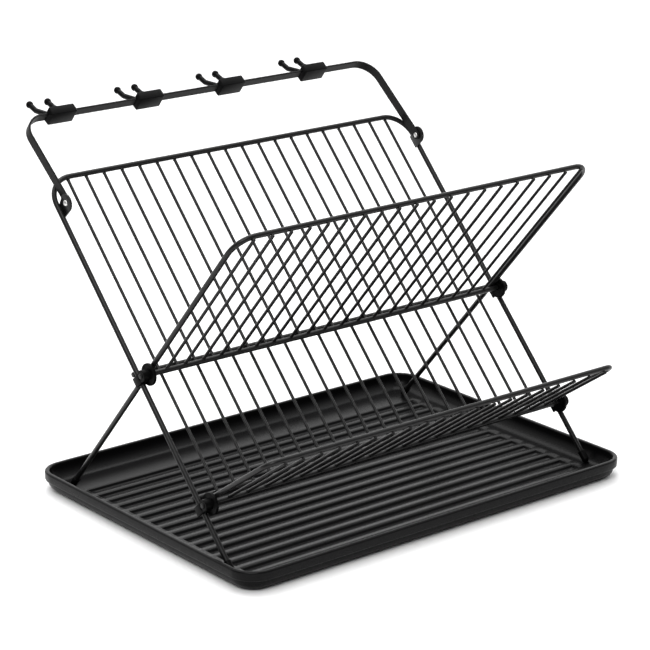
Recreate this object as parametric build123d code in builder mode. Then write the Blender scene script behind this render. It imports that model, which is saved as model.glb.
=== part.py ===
from build123d import *
import os
from math import cos, radians, sin, sqrt

# Dish drying rack, millimetres. X runs along the rack, Y to the back, Z up.
# Z = 0 is the underside of the drip tray and the origin is its centre.

# Overall sizes
tray_length = 457.0
tray_width = 333.0
tray_height = 20.0
wire_d = 5.0
rod_d = 3.0
rod_pitch = 20.0
rod_count = 20

# Drip tray
tray_corner = 25.0
rim_width = 4.5
skirt_height = 9.0
skirt_step = 3.0
floor_height = 4.5
cove_radius = 12.0
under_radius = 10.0
groove_count = 16
groove_pitch = 17.0
groove_width = 8.5
groove_depth = 2.5
groove_length = 400.0
groove_first = -141.0

# Crossed racks: where the two side wires cross, seen from the end
cross_y = 10.5
cross_z = 149.4
back_angle = 46.55
front_angle = 48.63
lower_angle = 34.2
back_half = tray_length / 2 - 14.75
front_half = back_half - 8.95
back_top = 206.7
front_top = 205.6
loop_corner = 26.0
front_corner = 20.0
front_bar_up = 9.0
lower_pivot_down = 134.6
lower_reach = 97.0
lower_corner = 12.0
tail_length = 23.0
stop_gap = 0.05

# Pivot clips
disc_radius = 10.3
disc_thick = 3.0
disc_gap = 0.6
clip_neck = 9.0
clip_wall = 2.0
boss_radius = 5.4
bore_gap = 0.06

# Foot caps
cap_radius = 3.5
cap_length = 9.0

# Hook rail on top
rail_pivot_up = 175.8
rail_stand_off = 7.5
rail_rise = 97.5
rail_lean = 7.0
rail_width = 9.0
rail_thick = 2.0
rail_corner = 22.0
tab_thick = 1.8
tab_radius = 8.5
rivet_d = 3.0
head_outer_d = 6.0
head_inner_d = 5.0
side_gap = 0.05

# Sliding hook clips
clip_places = (-165.0, -65.5, 31.5, 134.5)
sleeve_length = 32.0
sleeve_width = 15.5
sleeve_height = 9.2
sleeve_chamfer = 2.8
arm_spacing = 20.0
arm_d = 5.2
arm_reach = 37.0
arm_rise = 3.8
ball_d = 7.0
slot_gap = 0.05

# Values that follow from the sizes above
wire_r = wire_d / 2
rod_r = rod_d / 2
cA = cos(radians(back_angle))
sA = sin(radians(back_angle))
cB = cos(radians(front_angle))
sB = sin(radians(front_angle))
open_angle = 180.0 - back_angle - front_angle
lower_open = 180.0 - back_angle - lower_angle
lap = wire_r + rod_r
butt = wire_d - lap
bar_end = back_half + 5.6
rail_pivot_out = wire_r + rail_stand_off
front_origin = (0, cross_y, cross_z)


def along_back(s, n):
    return cross_y + s * cA - n * sA, cross_z + s * sA + n * cA


def along_front(t, m):
    return cross_y - t * cB + m * sB, cross_z + t * sB + m * cB


def in_back(y, z):
    dy = y - cross_y
    dz = z - cross_z
    return dy * cA + dz * sA, dz * cA - dy * sA


front_pivot = along_front(front_bar_up, -wire_d)
front_pivot_s, pivot_out = in_back(*front_pivot)
lower_pivot_s = -lower_pivot_down
lower_pivot = along_back(lower_pivot_s, pivot_out)

# Crossbars of the back rack, set where the other racks come to rest against them
mid_bar_s = (wire_d + stop_gap - wire_d * cos(radians(open_angle))) / sin(radians(open_angle))
low_drop = (pivot_out + wire_d) * cos(radians(lower_open))
low_bar_s = lower_pivot_s + (2 * wire_d + stop_gap - low_drop) / sin(radians(lower_open))

# Rail geometry
rail_y, rail_z = along_back(rail_pivot_up, rail_pivot_out)
rail_angle = back_angle - rail_lean
cR = cos(radians(rail_angle))
sR = sin(radians(rail_angle))
tab_out = back_half - wire_r
tab_in = tab_out - tab_thick
rail_half = tab_in - side_gap
head_gap = side_gap

back_plane = Plane(origin=(0, cross_y, cross_z), x_dir=(1, 0, 0), z_dir=(0, -sA, cA))
front_plane = Plane(origin=(0, cross_y, cross_z), x_dir=(1, 0, 0), z_dir=(0, -sB, -cB))
cL = cos(radians(lower_angle))
sL = sin(radians(lower_angle))
lower_y = lower_pivot[0] + wire_d * sL
lower_z = lower_pivot[1] + wire_d * cL
lower_plane = Plane(origin=(0, lower_y, lower_z), x_dir=(1, 0, 0), z_dir=(0, -sL, -cL))
rail_plane = Plane(origin=(0, rail_y, rail_z), x_dir=(1, 0, 0), z_dir=(0, -sR, cR))


def side_plane(x):
    return Plane(origin=(x, cross_y, cross_z), x_dir=(0, cA, sA), z_dir=(1, 0, 0))


def rail_side(x):
    return Plane(origin=(x, rail_y, rail_z), x_dir=(0, cR, sR), z_dir=(1, 0, 0))


def foot_height(x):
    # Height of a cap's round end when it rests on the tray floor or its cove
    cove_x = tray_length / 2 - rim_width - cove_radius
    if x <= cove_x:
        return floor_height + cap_radius
    fall = sqrt((cove_radius - cap_radius) ** 2 - (x - cove_x) ** 2)
    return floor_height + cove_radius - fall


back_foot = (foot_height(back_half) - cross_z) / sA
front_foot = (foot_height(front_half) - cross_z) / sB


def make_drip_tray():
    with BuildPart() as drip_tray:
        low_length = tray_length - 2 * skirt_step
        low_width = tray_width - 2 * skirt_step
        with BuildSketch():
            RectangleRounded(low_length, low_width, tray_corner - skirt_step)
        extrude(amount=tray_height - 1)
        with BuildSketch(Plane.XY.offset(tray_height - skirt_height)):
            RectangleRounded(tray_length, tray_width, tray_corner)
        extrude(amount=skirt_height)
        with BuildSketch(Plane.XY.offset(floor_height)):
            in_length = tray_length - 2 * rim_width
            in_width = tray_width - 2 * rim_width
            RectangleRounded(in_length, in_width, tray_corner - rim_width)
        extrude(amount=tray_height, mode=Mode.SUBTRACT)
        level = faces().filter_by(Plane.XY)
        floor = level.filter_by_position(Axis.Z, floor_height - 0.1, floor_height + 0.1)
        fillet(floor.edges(), cove_radius)
        fillet(faces().sort_by(Axis.Z)[0].edges(), under_radius)
        fillet(faces().sort_by(Axis.Z)[-1].edges(), 1.6)
        middle = groove_first + groove_pitch * (groove_count - 1) / 2
        with BuildSketch(Plane.XY.offset(floor_height - groove_depth)):
            with Locations((0, middle)):
                with GridLocations(1, groove_pitch, 1, groove_count):
                    RectangleRounded(groove_length, groove_width, 1.5)
        extrude(amount=groove_depth + 0.5, mode=Mode.SUBTRACT)
    drip_tray.part.label = "drip_tray"
    export_step(drip_tray.part, "parts/drip_tray.step")
    return drip_tray


def make_loop(name, plane, half, low, high, corner):
    # A round wire bent into a U: two sides and a top bar
    points = [(-half, low), (-half, high), (half, high), (half, low)]
    with BuildPart() as loop:
        with BuildLine(plane) as path:
            FilletPolyline(*points, radius=corner)
        with BuildSketch(Plane(origin=path.line @ 0, z_dir=path.line % 0)):
            Circle(wire_r)
        sweep(path=path.line)
        ends = faces().filter_by(GeomType.PLANE)
        fillet(ends.edges(), wire_r * 0.3)
    loop.part.label = name
    export_step(loop.part, "parts/" + name + ".step")
    return loop


def make_bar(name, y, z, half):
    # A round bar along X, centred on the middle of the rack
    with BuildPart() as bar:
        with BuildSketch(Plane(origin=(-half, y, z), x_dir=(0, 1, 0), z_dir=(1, 0, 0))):
            Circle(wire_r)
        extrude(amount=2 * half)
        ends = faces().filter_by(Axis.X)
        chamfer(ends.edges(), wire_r * 0.2)
    bar.part.label = name
    export_step(bar.part, "parts/" + name + ".step")
    return bar


def make_rods(name, plane, out, low, high, butted):
    # The parallel thin rods of one rack, cut to fit the bar they butt against
    base = plane.offset(out)
    start = base.from_local_coords((0, low, 0))
    with BuildPart() as rods:
        with BuildSketch(Plane(origin=start, x_dir=(1, 0, 0), z_dir=base.y_dir)):
            with GridLocations(rod_pitch, 1, rod_count, 1):
                Circle(rod_r)
        extrude(amount=high - low)
        add(butted.part, mode=Mode.SUBTRACT)
    rods.part.label = name
    export_step(rods.part, "parts/" + name + ".step")
    return rods


def make_pivot_clip(side, pivot_s, name):
    # Flanged bush for a pivot bar with a snap channel round the side wire
    disc_in = side * (front_half + wire_r + disc_gap)
    block_in = side * (front_half + wire_r + disc_gap + disc_thick / 2)
    block_out = side * (back_half + wire_r + clip_wall)
    with BuildPart() as pivot_clip:
        with BuildSketch(side_plane(disc_in)):
            with Locations((pivot_s, pivot_out)):
                Circle(disc_radius)
        extrude(amount=side * disc_thick)
        rim = edges().filter_by(GeomType.CIRCLE)
        fillet(rim, 0.7)
        with BuildSketch(side_plane(block_in)):
            with Locations((pivot_s, pivot_out)):
                Circle(boss_radius)
            with Locations((pivot_s, (pivot_out - wire_r - clip_wall) / 2)):
                Rectangle(clip_neck, pivot_out + wire_r + clip_wall)
        extrude(amount=block_out - block_in)
        with BuildSketch(side_plane(disc_in - side)):
            with Locations((pivot_s, pivot_out)):
                Circle(wire_r + bore_gap)
        extrude(amount=block_out - disc_in + 3 * side, mode=Mode.SUBTRACT)
        mouth = Plane(origin=side_plane(side * back_half).from_local_coords((pivot_s - disc_radius - 2, 0, 0)),
                      x_dir=(1, 0, 0), z_dir=(0, cA, sA))
        with BuildSketch(mouth):
            Circle(wire_r)
            with Locations((0, wire_d)):
                Rectangle(wire_d * 0.84, 2 * wire_d)
        extrude(amount=2 * disc_radius + 4, mode=Mode.SUBTRACT)
    pivot_clip.part.label = name
    export_step(pivot_clip.part, "parts/" + name + ".step")
    return pivot_clip


def make_foot_cap(side, plane, half, foot, name):
    # Moulded cap with a round end on the end of a side wire
    base = Plane(origin=plane.from_local_coords((side * half, foot, 0)), x_dir=(1, 0, 0), z_dir=plane.y_dir)
    with BuildPart() as foot_cap:
        with BuildSketch(base):
            Circle(cap_radius)
        extrude(amount=cap_length)
        fillet(faces().sort_by(Axis.Z)[-1].edges(), 0.5)
        with Locations(base):
            Sphere(cap_radius)
        with BuildSketch(base):
            Circle(wire_r)
        extrude(amount=cap_length + 1, mode=Mode.SUBTRACT)
    foot_cap.part.label = name
    export_step(foot_cap.part, "parts/" + name + ".step")
    return foot_cap


def make_rail_tab(side, name):
    # Plate welded to the inner side of the side wire, carrying the rail rivet
    with BuildPart() as rail_tab:
        with BuildSketch(side_plane(side * tab_in)):
            with Locations((rail_pivot_up, rail_pivot_out)):
                Circle(tab_radius)
            low = rail_pivot_up - tab_radius
            high = back_top - loop_corner - 0.5
            edge = rail_pivot_up + tab_radius
            with BuildLine():
                Polyline((low, rail_pivot_out), (low, -1.5), (high, -1.5), (edge, rail_pivot_out), close=True)
            make_face()
        extrude(amount=side * tab_thick)
        with BuildSketch(side_plane(side * (tab_in - 1))):
            with Locations((rail_pivot_up, rail_pivot_out)):
                Circle(rivet_d / 2)
        extrude(amount=side * (tab_thick + 2), mode=Mode.SUBTRACT)
    rail_tab.part.label = name
    export_step(rail_tab.part, "parts/" + name + ".step")
    return rail_tab


def make_rail_rivets():
    with BuildPart() as rail_rivets:
        for side in (1, -1):
            inner = rail_half - rail_thick - head_gap
            with BuildSketch(rail_side(side * inner)):
                Circle(rivet_d / 2)
            extrude(amount=side * (tab_out - inner))
            with BuildSketch(rail_side(side * tab_out)):
                Circle(head_outer_d / 2)
            extrude(amount=side * 1.7)
            with BuildSketch(rail_side(side * inner)):
                Circle(head_inner_d / 2)
            extrude(amount=-side * 1.1)
        heads = faces().filter_by(Axis.X).sort_by(Axis.X)
        fillet(heads[0].edges(), 1.0)
        fillet(heads[-1].edges(), 1.0)
    rail_rivets.part.label = "rail_rivets"
    export_step(rail_rivets.part, "parts/rail_rivets.step")
    return rail_rivets


def make_hook_rail():
    with BuildPart() as hook_rail:
        high = rail_rise + rail_thick / 2
        with BuildSketch(rail_plane.offset(-rail_width / 2)):
            RectangleRounded(2 * rail_half, 2 * high, rail_corner)
            RectangleRounded(2 * (rail_half - rail_thick), 2 * (high - rail_thick),
                             rail_corner - rail_thick, mode=Mode.SUBTRACT)
            with Locations((0, -high)):
                Rectangle(2 * tray_length, 2 * (high - rail_width / 2), mode=Mode.SUBTRACT)
        extrude(amount=rail_width)
        for side in (1, -1):
            with BuildSketch(rail_side(side * (rail_half + 1))):
                with Locations((-rail_width / 4 - 0.5, 0)):
                    Rectangle(rail_width / 2 + 1, rail_width + 1)
                Circle(rail_width / 2, mode=Mode.SUBTRACT)
            extrude(amount=-side * (rail_thick + 2), mode=Mode.SUBTRACT)
            with BuildSketch(rail_side(side * (rail_half + 1))):
                Circle(rivet_d / 2 + side_gap)
            extrude(amount=-side * (rail_thick + 2), mode=Mode.SUBTRACT)
    hook_rail.part.label = "hook_rail"
    export_step(hook_rail.part, "parts/hook_rail.step")
    return hook_rail


def make_hook_clip(x, name):
    # Sleeve on the rail with two round arms that end in raised balls
    centre = rail_plane.from_local_coords((x, rail_rise, 0))
    with BuildPart() as hook_clip:
        with BuildSketch(Plane(origin=centre, x_dir=(0, cR, sR), z_dir=(1, 0, 0))):
            Rectangle(sleeve_height, sleeve_width)
        extrude(amount=sleeve_length / 2, both=True)
        chamfer(faces().filter_by(Axis.X).edges(), sleeve_chamfer)
        for arm in (-arm_spacing / 2, arm_spacing / 2):
            side = Plane(origin=(x + arm, centre.Y, centre.Z), x_dir=(0, 1, 0), z_dir=(1, 0, 0))
            bend = arm_reach * 0.72
            with BuildLine(side) as arm_path:
                FilletPolyline((0, 0), (bend, 0), (arm_reach, arm_rise), radius=7)
            with BuildSketch(Plane(origin=arm_path.line @ 0, z_dir=arm_path.line % 0)):
                Circle(arm_d / 2)
            sweep(path=arm_path.line)
            with Locations(arm_path.line @ 1):
                Sphere(ball_d / 2)
        with BuildSketch(Plane(origin=centre, x_dir=(0, cR, sR), z_dir=(1, 0, 0))):
            Rectangle(rail_thick + 2 * slot_gap, rail_width + 2 * slot_gap)
        extrude(amount=sleeve_length, both=True, mode=Mode.SUBTRACT)
    hook_clip.part.label = name
    export_step(hook_clip.part, "parts/" + name + ".step")
    return hook_clip


os.makedirs("parts", exist_ok=True)
make_drip_tray()
back_loop = make_loop("back_frame_loop", back_plane, back_half, back_foot, back_top, loop_corner)
make_rods("back_frame_rods", back_plane, -butt, low_bar_s - wire_r, back_top - rod_r, back_loop)
mid_y, mid_z = along_back(mid_bar_s, -wire_d)
make_bar("back_mid_bar", mid_y, mid_z, back_half + 2)
low_y, low_z = along_back(low_bar_s, -wire_d)
make_bar("back_low_bar", low_y, low_z, back_half + 2)
make_loop("front_frame_loop", front_plane, front_half, front_foot, front_top, front_corner)
front_bar = make_bar("front_pivot_bar", front_pivot[0], front_pivot[1], bar_end)
make_rods("front_frame_rods", front_plane, lap, front_bar_up, front_top + rod_r, front_bar)
make_loop("lower_rack_loop", lower_plane, front_half, -tail_length, lower_reach, lower_corner)
lower_bar = make_bar("lower_pivot_bar", lower_pivot[0], lower_pivot[1], bar_end)
make_rods("lower_rack_rods", lower_plane, lap, 0, lower_reach + rod_r, lower_bar)
for side, word in ((-1, "left"), (1, "right")):
    make_pivot_clip(side, front_pivot_s, "upper_pivot_clip_" + word)
    make_pivot_clip(side, lower_pivot_s, "lower_pivot_clip_" + word)
    make_foot_cap(side, back_plane, back_half, back_foot, "back_foot_cap_" + word)
    make_foot_cap(side, front_plane, front_half, front_foot, "front_foot_cap_" + word)
    make_rail_tab(side, "rail_tab_" + word)
make_rail_rivets()
make_hook_rail()
for number, x in enumerate(clip_places, 1):
    make_hook_clip(x, "hook_clip_" + str(number))
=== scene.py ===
# Dish drying rack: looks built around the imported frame. Metres, X along the rack, Y to the back, Z up.
import math

import bmesh
import bpy
from mathutils import Matrix, Vector


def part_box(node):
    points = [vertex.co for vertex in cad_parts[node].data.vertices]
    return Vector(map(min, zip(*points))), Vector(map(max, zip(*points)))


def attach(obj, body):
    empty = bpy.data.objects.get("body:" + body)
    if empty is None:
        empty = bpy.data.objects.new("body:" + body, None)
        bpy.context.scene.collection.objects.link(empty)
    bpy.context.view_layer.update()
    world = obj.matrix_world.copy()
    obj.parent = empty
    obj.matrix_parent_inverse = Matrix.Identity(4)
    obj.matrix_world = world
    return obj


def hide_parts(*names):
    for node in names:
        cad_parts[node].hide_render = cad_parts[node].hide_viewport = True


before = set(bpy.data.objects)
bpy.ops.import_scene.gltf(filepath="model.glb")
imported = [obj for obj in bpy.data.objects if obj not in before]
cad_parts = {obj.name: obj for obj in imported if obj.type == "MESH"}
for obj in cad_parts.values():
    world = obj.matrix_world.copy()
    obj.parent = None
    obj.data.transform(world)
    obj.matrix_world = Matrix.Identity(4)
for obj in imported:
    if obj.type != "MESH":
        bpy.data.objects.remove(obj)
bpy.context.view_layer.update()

MM = 0.001

# Sizes shared with the frame, in millimetres
TRAY_L, TRAY_W, TRAY_H, TRAY_R = 457.0, 333.0, 20.0, 25.0
RIM, SKIRT, STEP, FLOOR, COVE, UNDER = 4.5, 9.0, 3.0, 4.5, 12.0, 10.0
GROOVES, PITCH, GROOVE_W, GROOVE_D, GROOVE_L, GROOVE_Y = 16, 17.0, 8.5, 2.5, 400.0, -141.0
WIRE, ROD, ROD_PITCH, ROD_COUNT = 2.5, 1.5, 20.0, 20
CROSS_Y, CROSS_Z = 10.5, 149.4
BACK_TILT, FRONT_TILT, LOWER_TILT = math.radians(46.55), math.radians(48.63), math.radians(34.2)
BACK_X, FRONT_X = 213.75, 204.8
BACK_TOP, FRONT_TOP, CORNER, FRONT_CORNER = 206.7, 205.6, 26.0, 20.0
LOWER_S, REACH, TAIL, LOWER_CORNER = -134.6, 97.0, 23.0, 12.0
BAR_UP, DISC_R, NECK = 9.0, 10.3, 9.0
RAIL_S, RAIL_N, RAIL_RISE, RAIL_LEAN = 175.8, 10.0, 97.5, math.radians(7.0)
STRIP_W, STRIP_T, STRIP_R = 9.0, 2.0, 22.0
CLIPS = (-165.0, -65.5, 31.5, 134.5)

# Sizes of the fittings, in millimetres
DISC_GAP, DISC_T, BORE_GAP, CLIP_WALL, BOSS_R = 0.6, 3.0, 0.06, 2.0, 5.4
CAP_R, CAP_L = 3.5, 9.0
TAB_T, TAB_R, TAB_LOW = 1.8, 8.5, -1.5
SIDE_GAP, RIVET_R = 0.05, 1.5
SLEEVE_X, SLEEVE_RISE, SLEEVE_WIDE, SLEEVE_CUT = 16.0, 4.6, 7.75, 2.8
ARM_X, ARM_R, ARM_REACH, ARM_RISE, ARM_BEND, BEND_R, BALL_R = 10.0, 2.6, 37.0, 3.8, 26.64, 7.0, 3.5
FLARE = 0.35  # how far a weld swells a rod's end


class Slope:
    """A flat working plane across the rack: X stays X, s runs up the slope, n stands off it."""

    def __init__(self, y, z, along, out):
        self.origin = Vector((0, y, z))
        self.along = Vector((0, along[0], along[1]))
        self.out = Vector((0, out[0], out[1]))

    def at(self, x, s, n=0.0):
        return Vector((x, 0, 0)) + self.origin + self.along * s + self.out * n


ca, sa = math.cos(BACK_TILT), math.sin(BACK_TILT)
cb, sb = math.cos(FRONT_TILT), math.sin(FRONT_TILT)
cl, sl = math.cos(LOWER_TILT), math.sin(LOWER_TILT)
back = Slope(CROSS_Y, CROSS_Z, (ca, sa), (-sa, ca))
front = Slope(CROSS_Y, CROSS_Z, (-cb, sb), (-sb, -cb))
front_axle = front.at(0, BAR_UP, 2 * WIRE)
axle_n = (front_axle - back.origin).dot(back.out)
axle_s = (front_axle - back.origin).dot(back.along)
lower_axle = back.at(0, LOWER_S, axle_n)
lower = Slope(lower_axle.y + 2 * WIRE * sl, lower_axle.z + 2 * WIRE * cl, (-cl, sl), (-sl, -cl))
rivet = back.at(0, RAIL_S, RAIL_N)
cr, sr = math.cos(BACK_TILT - RAIL_LEAN), math.sin(BACK_TILT - RAIL_LEAN)
rail = Slope(rivet.y, rivet.z, (cr, sr), (-sr, cr))


def centre_of(node):
    low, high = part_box(node)
    return (Vector(low) + Vector(high)) / 2 / MM


# ---------------------------------------------------------------- materials

def new_group(name, inputs, outputs):
    group = bpy.data.node_groups.new(name, "ShaderNodeTree")
    for label, kind, value in inputs:
        socket = group.interface.new_socket(name=label, in_out="INPUT", socket_type=kind)
        if value is not None:
            socket.default_value = value
    for label, kind in outputs:
        group.interface.new_socket(name=label, in_out="OUTPUT", socket_type=kind)
    return group, group.nodes.new("NodeGroupInput"), group.nodes.new("NodeGroupOutput")


def node(tree, kind, settings=None, **values):
    made = tree.nodes.new(kind)
    for key, value in (settings or {}).items():
        setattr(made, key, value)
    for key, value in values.items():
        made.inputs[key.replace("_", " ")].default_value = value
    return made


def build_grain_group():
    """Fine texture of coated steel and moulded plastic: a shade, a roughness and a normal."""
    group, start, end = new_group(
        "surface_grain",
        [("Color", "NodeSocketColor", (0.05, 0.05, 0.05, 1)), ("Roughness", "NodeSocketFloat", 0.5),
         ("Grain Scale", "NodeSocketFloat", 1500.0), ("Grain Depth", "NodeSocketFloat", 0.1),
         ("Mottle", "NodeSocketFloat", 0.1), ("Dust", "NodeSocketFloat", 0.1)],
        [("Color", "NodeSocketColor"), ("Roughness", "NodeSocketFloat"), ("Normal", "NodeSocketVector")])
    link = group.links.new
    place = node(group, "ShaderNodeTexCoord")
    fine = node(group, "ShaderNodeTexNoise", Detail=3.0, Roughness=0.6)
    broad = node(group, "ShaderNodeTexNoise", Scale=38.0, Detail=4.0, Roughness=0.55)
    link(place.outputs["Object"], fine.inputs["Vector"])
    link(place.outputs["Object"], broad.inputs["Vector"])
    link(start.outputs["Grain Scale"], fine.inputs["Scale"])
    # broad patches lighten and darken the base colour a little
    swing = node(group, "ShaderNodeMath", {"operation": "MULTIPLY_ADD"})
    swing.inputs[2].default_value = 1.0
    centred = node(group, "ShaderNodeMath", {"operation": "SUBTRACT"})
    centred.inputs[1].default_value = 0.5
    link(broad.outputs["Fac"], centred.inputs[0])
    link(centred.outputs[0], swing.inputs[0])
    link(start.outputs["Mottle"], swing.inputs[1])
    tone = node(group, "ShaderNodeVectorMath", {"operation": "SCALE"})
    link(start.outputs["Color"], tone.inputs[0])
    link(swing.outputs[0], tone.inputs["Scale"])
    # grey dust gathers on surfaces that face up
    shape = node(group, "ShaderNodeNewGeometry")
    split = node(group, "ShaderNodeSeparateXYZ")
    link(shape.outputs["Normal"], split.inputs[0])
    up = node(group, "ShaderNodeMapRange")
    up.inputs["From Min"].default_value = 0.1
    up.inputs["From Max"].default_value = 1.0
    link(split.outputs["Z"], up.inputs["Value"])
    settle = node(group, "ShaderNodeMath", {"operation": "MULTIPLY"})
    link(up.outputs[0], settle.inputs[0])
    link(start.outputs["Dust"], settle.inputs[1])
    dusted = node(group, "ShaderNodeMix", {"data_type": "RGBA"})
    dusted.inputs[7].default_value = (0.22, 0.22, 0.22, 1)
    link(settle.outputs[0], dusted.inputs[0])
    link(tone.outputs[0], dusted.inputs[6])
    link(dusted.outputs[2], end.inputs["Color"])
    # roughness wanders with the fine grain
    rough = node(group, "ShaderNodeMath", {"operation": "MULTIPLY_ADD"})
    rough.inputs[1].default_value = 0.16
    lessen = node(group, "ShaderNodeMath", {"operation": "SUBTRACT"})
    lessen.inputs[1].default_value = 0.5
    link(fine.outputs["Fac"], lessen.inputs[0])
    link(lessen.outputs[0], rough.inputs[0])
    link(start.outputs["Roughness"], rough.inputs[2])
    link(rough.outputs[0], end.inputs["Roughness"])
    bump = node(group, "ShaderNodeBump", Distance=0.0002)
    link(start.outputs["Grain Depth"], bump.inputs["Strength"])
    link(fine.outputs["Fac"], bump.inputs["Height"])
    link(bump.outputs["Normal"], end.inputs["Normal"])
    return group


def build_edge_highlight_group():
    """Painted highlight: a lighter colour where the surface turns sharply outwards."""
    group, start, end = new_group(
        "painted_edge_highlight",
        [("Color", "NodeSocketColor", (0.05, 0.05, 0.05, 1)),
         ("Edge Color", "NodeSocketColor", (0.2, 0.2, 0.2, 1)),
         ("Amount", "NodeSocketFloat", 0.3)],
        [("Color", "NodeSocketColor")])
    link = group.links.new
    shape = node(group, "ShaderNodeNewGeometry")
    ramp = node(group, "ShaderNodeMapRange")
    ramp.inputs["From Min"].default_value = 0.52
    ramp.inputs["From Max"].default_value = 0.62
    link(shape.outputs["Pointiness"], ramp.inputs["Value"])
    amount = node(group, "ShaderNodeMath", {"operation": "MULTIPLY"})
    link(ramp.outputs[0], amount.inputs[0])
    link(start.outputs["Amount"], amount.inputs[1])
    # painted highlight: the lighter edge colour is mixed in on sharp outward edges
    mix = node(group, "ShaderNodeMix", {"data_type": "RGBA"})
    link(amount.outputs[0], mix.inputs[0])
    link(start.outputs["Color"], mix.inputs[6])
    link(start.outputs["Edge Color"], mix.inputs[7])
    link(mix.outputs[2], end.inputs["Color"])
    return group


grain_group = build_grain_group()
edge_highlight_group = build_edge_highlight_group()


def finish_material(name, color, rough, scale, depth, mottle, dust, edge, amount,
                    specular=0.5, metal=0.0):
    material = bpy.data.materials.new(name)
    material.use_nodes = True
    tree = material.node_tree
    shader = tree.nodes["Principled BSDF"]
    # edges: painted highlight, a lighter colour on sharp outward edges
    edges = node(tree, "ShaderNodeGroup", {"node_tree": edge_highlight_group})
    edges.inputs["Color"].default_value = (*color, 1)
    edges.inputs["Edge Color"].default_value = (*edge, 1)
    edges.inputs["Amount"].default_value = amount
    grain = node(tree, "ShaderNodeGroup", {"node_tree": grain_group})
    for label, value in (("Roughness", rough), ("Grain Scale", scale), ("Grain Depth", depth),
                         ("Mottle", mottle), ("Dust", dust)):
        grain.inputs[label].default_value = value
    tree.links.new(edges.outputs["Color"], grain.inputs["Color"])
    for label, target in (("Color", "Base Color"), ("Roughness", "Roughness"), ("Normal", "Normal")):
        tree.links.new(grain.outputs[label], shader.inputs[target])
    shader.inputs["Specular IOR Level"].default_value = specular
    shader.inputs["Metallic"].default_value = metal
    material.diffuse_color = (*color, 1)
    return material


# edge and amount set each finish's painted highlight on sharp outward edges
coated_wire = finish_material(
    "coated_wire", (0.0075, 0.0073, 0.0074), rough=0.31, scale=900, depth=0.16, mottle=0.25, dust=0.01,
    edge=(0.014, 0.014, 0.014), amount=0.2, specular=0.20)
coated_strip = finish_material(
    "coated_strip", (0.0045, 0.0044, 0.0045), rough=0.42, scale=800, depth=0.2, mottle=0.25, dust=0.01,
    edge=(0.012, 0.012, 0.012), amount=0.3, specular=0.1)
black_plastic = finish_material(
    "black_plastic", (0.0015, 0.0015, 0.0016), rough=0.40, scale=1300, depth=0.2, mottle=0.2, dust=0.003,
    edge=(0.005, 0.005, 0.005), amount=0.3, specular=0.05)
tray_plastic = finish_material(
    "tray_plastic", (0.0032, 0.0031, 0.0033), rough=0.28, scale=1600, depth=0.14, mottle=0.3, dust=0.003,
    edge=(0.012, 0.012, 0.012), amount=0.3, specular=0.10)
rivet_steel = finish_material(
    "rivet_steel", (0.62, 0.61, 0.60), rough=0.32, scale=2500, depth=0.1, mottle=0.15, dust=0.0,
    edge=(0.8, 0.8, 0.8), amount=0.2, metal=1.0)


# ---------------------------------------------------------------- mesh helpers

def to_object(bm, name, material, smooth_angle=35.0):
    bmesh.ops.remove_doubles(bm, verts=bm.verts, dist=1e-6)
    bmesh.ops.recalc_face_normals(bm, faces=bm.faces)
    mesh = bpy.data.meshes.new(name)
    bm.to_mesh(mesh)
    bm.free()
    mesh.materials.append(material)
    mesh.polygons.foreach_set("use_smooth", [True] * len(mesh.polygons))
    mesh.set_sharp_from_angle(angle=math.radians(smooth_angle))
    made = bpy.data.objects.new(name, mesh)
    bpy.context.scene.collection.objects.link(made)
    return made


def bridge(bm, ring_a, ring_b, closed=True):
    count = len(ring_a)
    for i in range(count if closed else count - 1):
        j = (i + 1) % count
        corners = [ring_a[i], ring_a[j], ring_b[j], ring_b[i]]
        if len(set(corners)) == 4:
            bm.faces.new(corners)


def rounded_path(points, radius, steps=14):
    """Points in order, with each inner corner turned into an arc."""
    out = [points[0].copy()]
    for before, corner, after in zip(points, points[1:], points[2:]):
        to_a, to_b = (before - corner).normalized(), (after - corner).normalized()
        half = to_a.angle(to_b) / 2
        reach = radius / math.tan(half)
        middle = corner + (to_a + to_b).normalized() * (radius / math.sin(half))
        first, last = corner + to_a * reach - middle, corner + to_b * reach - middle
        turn = first.angle(last)
        axis = first.cross(last).normalized()
        for i in range(steps + 1):
            out.append(middle + Matrix.Rotation(turn * i / steps, 3, axis) @ first)
    out.append(points[-1].copy())
    return out


def add_tube(bm, path, radii, sides=20, cap=0.35):
    """A round tube along a path in millimetres, with softened ends."""
    tangents = []
    for i in range(len(path)):
        a, b = path[max(i - 1, 0)], path[min(i + 1, len(path) - 1)]
        tangents.append((b - a).normalized())
    side = tangents[0].orthogonal().normalized()
    rings = []
    if not isinstance(radii, (list, tuple)):
        radii = [radii] * len(path)
    for i, (point, tangent) in enumerate(zip(path, tangents)):
        if i:
            side = (side - tangent * side.dot(tangent)).normalized()
        other = tangent.cross(side)
        rings.append((point, side.copy(), other, radii[i]))

    def ring(point, u, v, r):
        return [bm.verts.new((point + u * r * math.cos(t) + v * r * math.sin(t)) * MM)
                for t in [2 * math.pi * k / sides for k in range(sides)]]

    loops = []
    start, u, v, r = rings[0]
    soft = r * cap
    for k in range(4):
        t = math.pi / 2 * k / 4
        loops.append(ring(start + tangents[0] * soft * (1 - math.cos(t)), u, v, r - soft + soft * math.sin(t)))
    loops.append(ring(start + tangents[0] * soft, u, v, r))
    for point, u, v, r in rings[1:-1]:
        loops.append(ring(point, u, v, r))
    end, u, v, r = rings[-1]
    soft = r * cap
    loops.append(ring(end - tangents[-1] * soft, u, v, r))
    for k in range(3, -1, -1):
        t = math.pi / 2 * k / 4
        loops.append(ring(end - tangents[-1] * soft * (1 - math.cos(t)), u, v, r - soft + soft * math.sin(t)))
    for a, b in zip(loops, loops[1:]):
        bridge(bm, a, b)
    bm.faces.new(list(reversed(loops[0])))
    bm.faces.new(loops[-1])


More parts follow.
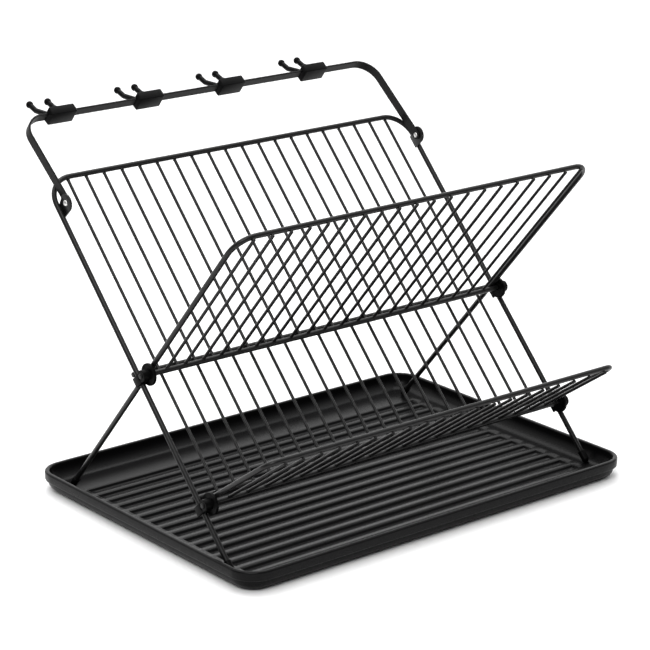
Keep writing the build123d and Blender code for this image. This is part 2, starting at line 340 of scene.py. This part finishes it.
def add_lathe(bm, origin, axis, side, profile, sides=40):
    """Turns (along, radius) pairs about an axis; a radius of 0 closes the end."""
    other = axis.cross(side)
    loops = []
    for along, radius in profile:
        if radius < 1e-6:
            loops.append([bm.verts.new((origin + axis * along) * MM)])
        else:
            loops.append([bm.verts.new((origin + axis * along
                                        + (side * math.cos(t) + other * math.sin(t)) * radius) * MM)
                          for t in [2 * math.pi * k / sides for k in range(sides)]])
    for a, b in zip(loops, loops[1:]):
        if len(a) == 1 or len(b) == 1:
            tip, ring = (a[0], b) if len(a) == 1 else (b[0], a)
            for i in range(len(ring)):
                bm.faces.new([tip, ring[i], ring[(i + 1) % len(ring)]])
        else:
            bridge(bm, a, b)
    return loops


def add_prism(bm, outline, low, high, place):
    """Extrudes a closed outline of (a, b) pairs between two depths; place(a, b, depth) gives the point."""
    ends = []
    for depth in (low, high):
        ends.append([bm.verts.new(place(a, b, depth) * MM) for a, b in outline])
    bridge(bm, ends[0], ends[1])
    bm.faces.new(list(reversed(ends[0])))
    bm.faces.new(ends[1])


def round_edges(made, width, segments=3, angle=30.0):
    soften = made.modifiers.new("rounded", "BEVEL")
    soften.width = width * MM
    soften.segments = segments
    soften.limit_method = "ANGLE"
    soften.angle_limit = math.radians(angle)
    soften.harden_normals = False
    view = bpy.context.evaluated_depsgraph_get()
    mesh = bpy.data.meshes.new_from_object(made.evaluated_get(view))
    made.modifiers.remove(soften)
    old = made.data
    made.data = mesh
    bpy.data.meshes.remove(old)
    mesh.polygons.foreach_set("use_smooth", [True] * len(mesh.polygons))
    mesh.set_sharp_from_angle(angle=math.radians(50))
    return made


def settle(made, body, slot, *nodes):
    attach(made, body)
    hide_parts(*nodes)


# ---------------------------------------------------------------- rows of rods

def build_rod_row_tree():
    """Row of round rods: a lathed rod repeated at a pitch, with its weld flare at both ends."""
    tree = bpy.data.node_groups.new("rod_row", "GeometryNodeTree")
    add = tree.interface.new_socket
    add(name="Geometry", in_out="INPUT", socket_type="NodeSocketGeometry")
    for label, kind, value in (("Rod Count", "NodeSocketInt", 20), ("Rod Pitch", "NodeSocketFloat", 0.02),
                               ("Material", "NodeSocketMaterial", None)):
        socket = add(name=label, in_out="INPUT", socket_type=kind)
        if value is not None:
            socket.default_value = value
    add(name="Geometry", in_out="OUTPUT", socket_type="NodeSocketGeometry")
    start, end = tree.nodes.new("NodeGroupInput"), tree.nodes.new("NodeGroupOutput")
    link = tree.links.new
    line = tree.nodes.new("GeometryNodeMeshLine")
    link(start.outputs["Rod Count"], line.inputs["Count"])
    step = tree.nodes.new("ShaderNodeCombineXYZ")
    link(start.outputs["Rod Pitch"], step.inputs["X"])
    link(step.outputs[0], line.inputs["Offset"])
    # the first rod stands half the row to the left
    gaps = tree.nodes.new("ShaderNodeMath")
    gaps.operation = "MULTIPLY_ADD"
    gaps.inputs[1].default_value = -0.5
    gaps.inputs[2].default_value = 0.5
    link(start.outputs["Rod Count"], gaps.inputs[0])
    first = tree.nodes.new("ShaderNodeMath")
    first.operation = "MULTIPLY"
    link(gaps.outputs[0], first.inputs[0])
    link(start.outputs["Rod Pitch"], first.inputs[1])
    shift = tree.nodes.new("ShaderNodeCombineXYZ")
    link(first.outputs[0], shift.inputs["X"])
    link(shift.outputs[0], line.inputs["Start Location"])
    row = tree.nodes.new("GeometryNodeInstanceOnPoints")
    link(line.outputs["Mesh"], row.inputs["Points"])
    link(start.outputs["Geometry"], row.inputs["Instance"])
    real = tree.nodes.new("GeometryNodeRealizeInstances")
    link(row.outputs["Instances"], real.inputs["Geometry"])
    paint = tree.nodes.new("GeometryNodeSetMaterial")
    link(real.outputs["Geometry"], paint.inputs["Geometry"])
    link(start.outputs["Material"], paint.inputs["Material"])
    link(paint.outputs["Geometry"], end.inputs["Geometry"])
    return tree


rod_row_tree = build_rod_row_tree()


def rod_row(name, path, flare_low, flare_high, material):
    """One rod along a path in the X = 0 plane, repeated by the rod_row tree."""
    bm = bmesh.new()
    lengths = [0.0]
    for a, b in zip(path, path[1:]):
        lengths.append(lengths[-1] + (b - a).length)
    radii = []
    for run in lengths:
        low_swell = flare_low * max(0.0, 1 - run / 2.4) ** 2
        high_swell = flare_high * max(0.0, 1 - (lengths[-1] - run) / 2.4) ** 2
        radii.append(ROD + low_swell + high_swell)
    add_tube(bm, path, radii, sides=14)
    made = to_object(bm, name, material, 60)
    repeat = made.modifiers.new("row", "NODES")
    repeat.node_group = rod_row_tree
    sockets = {item.name: item.identifier for item in rod_row_tree.interface.items_tree
               if item.in_out == "INPUT"}
    repeat[sockets["Rod Count"]] = ROD_COUNT
    repeat[sockets["Rod Pitch"]] = ROD_PITCH * MM
    repeat[sockets["Material"]] = material
    view = bpy.context.evaluated_depsgraph_get()
    mesh = bpy.data.meshes.new_from_object(made.evaluated_get(view))
    made.modifiers.remove(repeat)
    old = made.data
    made.data = mesh
    bpy.data.meshes.remove(old)
    return made


def straight(slope, low, high, n, steps=10, ends=(0.8, 1.6, 2.4)):
    """Points up a slope, closer together at both ends for the weld flare."""
    marks = [low] + [low + e for e in ends]
    marks += [low + ends[-1] + (high - low - 2 * ends[-1]) * i / steps for i in range(1, steps)]
    marks += [high - e for e in reversed(ends)] + [high]
    return [slope.at(0, s, n) for s in marks]


# ---------------------------------------------------------------- drip tray

def groove_drop(x, y):
    """Depth of the grooved floor at a point, with soft shoulders and rounded groove ends."""
    nearest = round((y - GROOVE_Y) / PITCH)
    nearest = min(max(nearest, 0), GROOVES - 1)
    across = GROOVE_W / 2 - abs(y - (GROOVE_Y + nearest * PITCH))
    along = GROOVE_L / 2 - abs(x)
    inside = min(across, along)
    soft = min(max((inside + 0.5) / 1.6, 0.0), 1.0)
    return GROOVE_D * soft * soft * (3 - 2 * soft)


def build_tray():
    bm = bmesh.new()
    # floor marks: close together at the groove shoulders and ends
    ys = []
    low_y, high_y = -TRAY_W / 2 + RIM + COVE + 2.0, TRAY_W / 2 - RIM - COVE - 2.0
    for k in range(GROOVES):
        c = GROOVE_Y + k * PITCH
        for d in (-4.75, -4.35, -3.95, -3.55, -3.15, -1.2, 1.2, 3.15, 3.55, 3.95, 4.35, 4.75):
            ys.append(c + d)
        ys.append(c + PITCH / 2)
    ys += [low_y, -145.9, 124.5, 131, 138, high_y]
    ys = sorted(y for y in set(round(v, 3) for v in ys) if low_y <= y <= high_y)
    half = TRAY_L / 2 - RIM - COVE - 2.0
    xs = []
    for d in (-0.5, -0.1, 0.3, 0.7, 1.1):
        xs += [GROOVE_L / 2 - d, -GROOVE_L / 2 + d]
    xs += [half, -half] + [-180 + 20 * i for i in range(19)] + [192, -192]
    xs = sorted(set(round(v, 3) for v in xs))
    grid = [[bm.verts.new(Vector((x, y, FLOOR - groove_drop(x, y))) * MM) for x in xs] for y in ys]
    for j in range(len(ys) - 1):
        for i in range(len(xs) - 1):
            bm.faces.new([grid[j][i], grid[j][i + 1], grid[j + 1][i + 1], grid[j + 1][i]])
    # outer edge of the grid, counter-clockwise, starting at the lower right
    edge = [grid[j][-1] for j in range(len(ys))] + [grid[-1][i] for i in range(len(xs) - 2, -1, -1)]
    edge += [grid[j][0] for j in range(len(ys) - 2, -1, -1)] + [grid[0][i] for i in range(1, len(xs) - 1)]

    def ring_at(inset, z, radius):
        """A loop with as many points as the grid's edge, spread the same way round."""
        hx, hy = TRAY_L / 2 - inset, TRAY_W / 2 - inset
        out = []
        for vert in edge:
            x, y = vert.co.x / MM, vert.co.y / MM
            u, v = x / half, (y - (low_y + high_y) / 2) / ((high_y - low_y) / 2)
            px, py = u * hx, v * hy
            dx, dy = abs(px) - (hx - radius), abs(py) - (hy - radius)
            if dx > 0 and dy > 0:
                scale = radius / math.hypot(dx, dy)
                px = math.copysign(hx - radius + dx * scale, px)
                py = math.copysign(hy - radius + dy * scale, py)
            out.append(bm.verts.new(Vector((px, py, z)) * MM))
        return out

    profile = []
    for i in range(0, 11):
        t = math.pi / 2 * i / 10
        profile.append((RIM + COVE - COVE * math.sin(t), FLOOR + COVE - COVE * math.cos(t)))
    profile.append((RIM, TRAY_H - 1.6))
    for i in range(1, 7):
        t = math.pi / 2 * i / 6
        profile.append((RIM - 1.6 + 1.6 * math.cos(t), TRAY_H - 1.6 + 1.6 * math.sin(t)))
    for i in range(1, 9):
        t = math.pi / 2 * i / 8
        profile.append((1.9 - 1.9 * math.sin(t), TRAY_H - 1.9 + 1.9 * math.cos(t)))
    base = TRAY_H - SKIRT
    profile += [(0.0, base + 5), (0.1, base + 1.0), (0.4, base + 0.3), (1.0, base), (2.4, base),
                (STEP, base - 0.5), (STEP, UNDER)]
    for i in range(1, 11):
        t = math.pi / 2 * i / 10
        profile.append((STEP + UNDER - UNDER * math.cos(t), UNDER - UNDER * math.sin(t)))
    previous = edge
    for inset, z in profile:
        radius = max(TRAY_R - inset, 3.0)
        ring = ring_at(inset, z, radius)
        bridge(bm, previous, ring)
        previous = ring
    bm.faces.new(list(reversed(previous)))
    made = to_object(bm, "tray_shell", tray_plastic, 60)
    settle(made, "tray", "tray_plastic", "drip_tray")


# ---------------------------------------------------------------- wires, bars and rods

def wire_loop(name, slope, half, low, high, corner, body, cad_node):
    bm = bmesh.new()
    points = [slope.at(-half, low), slope.at(-half, high), slope.at(half, high), slope.at(half, low)]
    add_tube(bm, rounded_path(points, corner), WIRE, sides=24)
    settle(to_object(bm, name, coated_wire, 60), body, "coated_wire", cad_node)


def cross_bar(name, y, z, half, body, cad_node):
    bm = bmesh.new()
    path = [Vector((-half + 2 * half * i / 12, y, z)) for i in range(13)]
    add_tube(bm, path, WIRE, sides=24)
    settle(to_object(bm, name, coated_wire, 60), body, "coated_wire", cad_node)


def box_half(node_name):
    low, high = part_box(node_name)
    return (high[0] - low[0]) / 2 / MM


def cap_height(node_name, slope):
    """How far up the slope a foot cap's round end is centred."""
    low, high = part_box(node_name)
    return (low[2] / MM + CAP_R - slope.origin.z) / slope.along.z


back_foot = cap_height("back_foot_cap_left", back)
front_foot = cap_height("front_foot_cap_left", front)


def build_wires():
    wire_loop("back_wire", back, BACK_X, back_foot, BACK_TOP, CORNER, "back_frame", "back_frame_loop")
    wire_loop("front_wire", front, FRONT_X, front_foot, FRONT_TOP, FRONT_CORNER, "front_frame",
              "front_frame_loop")
    wire_loop("lower_wire", lower, FRONT_X, -TAIL, REACH, LOWER_CORNER, "lower_rack", "lower_rack_loop")
    for name, cad_node, body in (("mid_bar", "back_mid_bar", "back_frame"),
                                 ("low_bar", "back_low_bar", "back_frame"),
                                 ("front_axle", "front_pivot_bar", "front_frame"),
                                 ("lower_axle", "lower_pivot_bar", "lower_rack")):
        middle = centre_of(cad_node)
        cross_bar(name, middle.y, middle.z, box_half(cad_node), body, cad_node)


def build_rods():
    low_bar = centre_of("back_low_bar")
    foot = (low_bar - back.origin).dot(back.along) - WIRE
    path = straight(back, foot, BACK_TOP - 2.25, -WIRE + ROD)
    made = rod_row("back_rods", path, 0.0, FLARE, coated_wire)
    settle(made, "back_frame", "coated_wire", "back_frame_rods")
    path = straight(front, BAR_UP + 2.2, FRONT_TOP + ROD, WIRE + ROD)
    made = rod_row("front_rods", path, FLARE, 0.0, coated_wire)
    settle(made, "front_frame", "coated_wire", "front_frame_rods")
    path = straight(lower, 2.2, REACH + ROD, WIRE + ROD)
    made = rod_row("lower_rods", path, FLARE, 0.0, coated_wire)
    settle(made, "lower_rack", "coated_wire", "lower_rack_rods")


# ---------------------------------------------------------------- plastic fittings

def build_pivot_clip(side, s, name, body, cad_node):
    """Disc flange with a neck that snaps round the side wire."""
    bm = bmesh.new()
    axis = Vector((side, 0, 0))
    centre = back.at(0, s, axle_n)
    inner = FRONT_X + WIRE + DISC_GAP
    outer = inner + DISC_T
    hole = WIRE + BORE_GAP
    profile = [(inner, hole), (inner, 5.2), (inner + 0.35, 5.6), (inner + 0.35, DISC_R - 1.6),
               (inner, DISC_R - 1.2), (inner, DISC_R - 0.7), (inner + 0.2, DISC_R - 0.2),
               (inner + 0.7, DISC_R), (outer - 0.7, DISC_R),
               (outer - 0.2, DISC_R - 0.2), (outer, DISC_R - 0.7), (outer, hole), (inner, hole)]
    add_lathe(bm, centre, axis, back.along, profile, 48)
    disc = to_object(bm, name, black_plastic, 40)
    # neck: profile across the wire, run along the slope
    bm = bmesh.new()
    wall_out = BACK_X + WIRE + CLIP_WALL
    start = inner + DISC_T / 2
    grip = WIRE + 0.01
    outline = []
    deep = -WIRE - CLIP_WALL
    mouth = WIRE * 0.84
    drop = -math.sqrt(grip * grip - mouth * mouth)
    outline += [(BACK_X - mouth, deep + 0.4), (BACK_X - mouth - 0.4, deep), (start, deep)]
    top = axle_n - hole - 0.15
    outline += [(start, top), (wall_out, top), (wall_out, deep), (BACK_X + mouth + 0.4, deep),
                (BACK_X + mouth, deep + 0.4)]
    first = math.atan2(drop, mouth)
    last = math.pi - first
    for i in range(17):
        t = first + (last - first) * i / 16
        outline.append((BACK_X + grip * math.cos(t), grip * math.sin(t)))
    add_prism(bm, outline, s - NECK / 2, s + NECK / 2,
              lambda a, b, depth: back.at(side * a, depth, b))
    neck = to_object(bm, name + "_neck", black_plastic, 40)
    round_edges(neck, 0.35, 2, 40)
    bm = bmesh.new()
    boss = [(start, hole), (start, BOSS_R), (wall_out - 0.5, BOSS_R), (wall_out, BOSS_R - 0.5),
            (wall_out, hole), (start, hole)]
    add_lathe(bm, centre, axis, back.along, boss, 40)
    ring = to_object(bm, name + "_boss", black_plastic, 40)
    for extra, word in ((disc, ""), (neck, "_neck"), (ring, "_boss")):
        settle(extra, body, "black_plastic", cad_node)


def build_foot_cap(name, slope, x, foot, body, cad_node):
    bm = bmesh.new()
    r, length = CAP_R, CAP_L
    profile = []
    for i in range(9):
        t = math.pi / 2 * i / 8
        profile.append((-r * math.cos(t), r * math.sin(t)))
    profile += [(length - 2.2, r), (length - 2.0, r - 0.25), (length - 1.7, r - 0.25), (length - 1.5, r),
                (length - 0.5, r), (length - 0.15, r - 0.15), (length, r - 0.5),
                (length, WIRE + 0.02), (length - 1.5, WIRE + 0.02), (length - 1.5, 0.0)]
    add_lathe(bm, slope.at(x, foot), slope.along, Vector((1, 0, 0)), profile, 32)
    settle(to_object(bm, name, black_plastic, 50), body, "black_plastic", cad_node)


def build_tab(side, word):
    """Welded plate with a rounded end round the rivet."""
    bm = bmesh.new()
    inner = BACK_X - WIRE - TAB_T
    outline = [(RAIL_S - TAB_R, TAB_LOW), (BACK_TOP - CORNER - 0.5, TAB_LOW), (RAIL_S + TAB_R, RAIL_N)]
    for i in range(1, 20):
        t = math.pi * i / 20
        outline.append((RAIL_S + TAB_R * math.cos(t), RAIL_N + TAB_R * math.sin(t)))
    outline.append((RAIL_S - TAB_R, RAIL_N))
    add_prism(bm, outline, inner, inner + TAB_T, lambda a, b, depth: back.at(side * depth, a, b))
    made = to_object(bm, "tab_" + word, coated_wire, 40)
    round_edges(made, 0.3, 2, 40)
    settle(made, "back_frame", "coated_wire", "rail_tab_" + word)


def build_rivets():
    bm = bmesh.new()
    tab_out = BACK_X - WIRE
    inner = tab_out - TAB_T - SIDE_GAP - STRIP_T - SIDE_GAP
    profile = [(inner - 1.1, 0.0), (inner - 1.05, 1.1), (inner - 0.75, 1.9), (inner - 0.3, 2.4), (inner, 2.5),
               (inner, RIVET_R), (tab_out, RIVET_R), (tab_out, 3.0), (tab_out + 0.35, 2.95),
               (tab_out + 1.0, 2.4), (tab_out + 1.5, 1.4),
               (tab_out + 1.7, 0.0)]
    for side in (-1, 1):
        add_lathe(bm, rivet, Vector((side, 0, 0)), back.along, profile, 36)
    settle(to_object(bm, "rivets", rivet_steel, 45), "back_frame", "rivet_steel", "rail_rivets")


def build_rail():
    """Flat strip bent into a U, with eased long edges and round leg ends."""
    bm = bmesh.new()
    half = BACK_X - WIRE - TAB_T - SIDE_GAP - STRIP_T / 2
    wide, thick, ease = STRIP_W / 2, STRIP_T / 2, 0.35
    corners = [(-half, 0.0), (-half, RAIL_RISE), (half, RAIL_RISE), (half, 0.0)]
    path = rounded_path([Vector((x, r, 0)) for x, r in corners], STRIP_R - thick, 20)
    stations = []
    for i, point in enumerate(path):
        a, b = path[max(i - 1, 0)], path[min(i + 1, len(path) - 1)]
        stations.append((point, (b - a).normalized(), wide))
    first, last = stations[0], stations[-1]
    round_end = []
    for i in range(1, 13):
        t = math.pi / 2 * i / 12
        round_end.append((wide * math.sin(t), max(wide * math.cos(t), 0.4)))
    head = [(first[0] - first[1] * d, first[1], w) for d, w in reversed(round_end)]
    tail = [(last[0] + last[1] * d, last[1], w) for d, w in round_end]
    loops = []
    for point, tangent, w in head + stations + tail:
        across = Vector((tangent.y, -tangent.x, 0))
        ring = []
        for a, b in ((thick, w - ease), (thick - ease, w), (-thick + ease, w), (-thick, w - ease),
                     (-thick, -w + ease), (-thick + ease, -w), (thick - ease, -w), (thick, -w + ease)):
            spot = point + across * a
            ring.append(bm.verts.new(rail.at(spot.x, spot.y, b) * MM))
        loops.append(ring)
    for a, b in zip(loops, loops[1:]):
        bridge(bm, a, b)
    bm.faces.new(list(reversed(loops[0])))
    bm.faces.new(loops[-1])
    settle(to_object(bm, "rail_strip", coated_strip, 30), "hook_rail", "strip_steel", "hook_rail")


def build_hook_clip(number, x):
    """Sleeve on the rail and two arms with raised ball ends."""
    centre = rail.at(x, RAIL_RISE, 0)
    bm = bmesh.new()
    hw, hr, hx, cut = SLEEVE_WIDE, SLEEVE_RISE, SLEEVE_X, SLEEVE_CUT
    loops = []
    for dx, slim in ((-hx, cut), (-hx + cut, 0.0), (hx - cut, 0.0), (hx, cut)):
        rise, wide = hr - slim, hw - slim
        loops.append([bm.verts.new(rail.at(x + dx, RAIL_RISE + a, b) * MM)
                      for a, b in ((-rise, -wide), (rise, -wide), (rise, wide), (-rise, wide))])
    for a, b in zip(loops, loops[1:]):
        bridge(bm, a, b)
    bm.faces.new(list(reversed(loops[0])))
    bm.faces.new(loops[-1])
    sleeve = to_object(bm, "clip_%d_sleeve" % number, black_plastic, 25)
    round_edges(sleeve, 0.5, 3, 25)
    settle(sleeve, "clip_%d" % number, "black_plastic", "hook_clip_%d" % number)
    bm = bmesh.new()
    ball = [(-BALL_R * math.cos(math.pi * i / 16), BALL_R * math.sin(math.pi * i / 16)) for i in range(17)]
    for dx in (-ARM_X, ARM_X):
        points = [centre + Vector(spot) for spot in
                  ((dx, 0, 0), (dx, ARM_BEND, 0), (dx, ARM_REACH, ARM_RISE))]
        path = rounded_path(points, BEND_R, 8)
        add_tube(bm, path, ARM_R, sides=20)
        way = (path[-1] - path[-2]).normalized()
        add_lathe(bm, path[-1], way, Vector((1, 0, 0)), ball, 28)
    arms = to_object(bm, "clip_%d_arms" % number, black_plastic, 60)
    settle(arms, "clip_%d" % number, "black_plastic", "hook_clip_%d" % number)


build_tray()
build_wires()
build_rods()
for clip_side, clip_word in ((-1, "left"), (1, "right")):
    for clip_s, clip_level in ((axle_s, "upper"), (LOWER_S, "lower")):
        build_pivot_clip(clip_side, clip_s, clip_level + "_bush_" + clip_word, "back_frame",
                         clip_level + "_pivot_clip_" + clip_word)
    build_foot_cap("back_cap_" + clip_word, back, clip_side * BACK_X, back_foot, "back_frame",
                   "back_foot_cap_" + clip_word)
    build_foot_cap("front_cap_" + clip_word, front, clip_side * FRONT_X, front_foot, "front_frame",
                   "front_foot_cap_" + clip_word)
    build_tab(clip_side, clip_word)
build_rivets()
build_rail()
for clip_number, clip_x in enumerate(CLIPS, 1):
    build_hook_clip(clip_number, clip_x)


# ---------------------------------------------------------------- floor, light and camera

def build_stage():
    bpy.ops.mesh.primitive_plane_add(size=14, location=(0, 0, 0))
    floor = bpy.context.object
    floor.name = "floor"
    paper = bpy.data.materials.new("pale_floor")
    paper.use_nodes = True
    shader = paper.node_tree.nodes["Principled BSDF"]
    shader.inputs["Base Color"].default_value = (0.93, 0.93, 0.93, 1)
    shader.inputs["Roughness"].default_value = 0.9
    floor.data.materials.append(paper)
    world = bpy.data.worlds.new("studio")
    world.use_nodes = True
    world.node_tree.nodes["Background"].inputs["Color"].default_value = (1, 1, 1, 1)
    # bright overhead and behind, dark in front: level faces shine while faces turned to the viewer stay black
    tree = world.node_tree
    place = tree.nodes.new("ShaderNodeTexCoord")
    facing = tree.nodes.new("ShaderNodeVectorMath")
    facing.operation = "DOT_PRODUCT"
    facing.inputs[1].default_value = (0.45, 0.55, 0.70)
    ceiling = node(tree, "ShaderNodeMapRange", {"interpolation_type": "SMOOTHSTEP"})
    for label, value in (("From Min", -0.15), ("From Max", 1.0), ("To Min", 0.06), ("To Max", 1.7)):
        ceiling.inputs[label].default_value = value
    tree.links.new(place.outputs["Generated"], facing.inputs[0])
    tree.links.new(facing.outputs["Value"], ceiling.inputs["Value"])
    # the backdrop itself shows plain white
    path = tree.nodes.new("ShaderNodeLightPath")
    shown = node(tree, "ShaderNodeMix", {"data_type": "FLOAT"})
    shown.inputs[3].default_value = 1.0
    tree.links.new(path.outputs["Is Camera Ray"], shown.inputs[0])
    tree.links.new(ceiling.outputs[0], shown.inputs[2])
    tree.links.new(shown.outputs[0], tree.nodes["Background"].inputs["Strength"])
    bpy.context.scene.world = world


def add_light(name, place, target, size, power):
    data = bpy.data.lights.new(name, "AREA")
    data.size = size
    data.energy = power
    made = bpy.data.objects.new(name, data)
    made.location = place
    made.rotation_euler = (Vector(target) - Vector(place)).to_track_quat("-Z", "Y").to_euler()
    bpy.context.scene.collection.objects.link(made)


CAMERA_LENS, CAMERA_AT = 138.85, (-1406.2, -1727.4, 874.3)
CAMERA_TURN, CAMERA_TIP = math.radians(38.95), math.radians(17.86)


def build_camera():
    data = bpy.data.cameras.new("view")
    data.lens = CAMERA_LENS
    data.sensor_width = 36.0
    data.clip_start = 0.05
    made = bpy.data.objects.new("view", data)
    turn, tip = CAMERA_TURN, CAMERA_TIP
    look = Vector((math.sin(turn) * math.cos(tip), math.cos(turn) * math.cos(tip), -math.sin(tip)))
    made.location = Vector(CAMERA_AT) * MM
    made.rotation_euler = look.to_track_quat("-Z", "Y").to_euler()
    bpy.context.scene.collection.objects.link(made)
    bpy.context.scene.camera = made


build_stage()
bpy.context.scene.view_settings.view_transform = "Standard"
add_light("key", (-1.6, -1.2, 2.2), (0, 0, 0.1), 1.6, 45)
add_light("top", (0.3, 0.8, 2.4), (0, 0, 0.1), 2.0, 30)
build_camera()
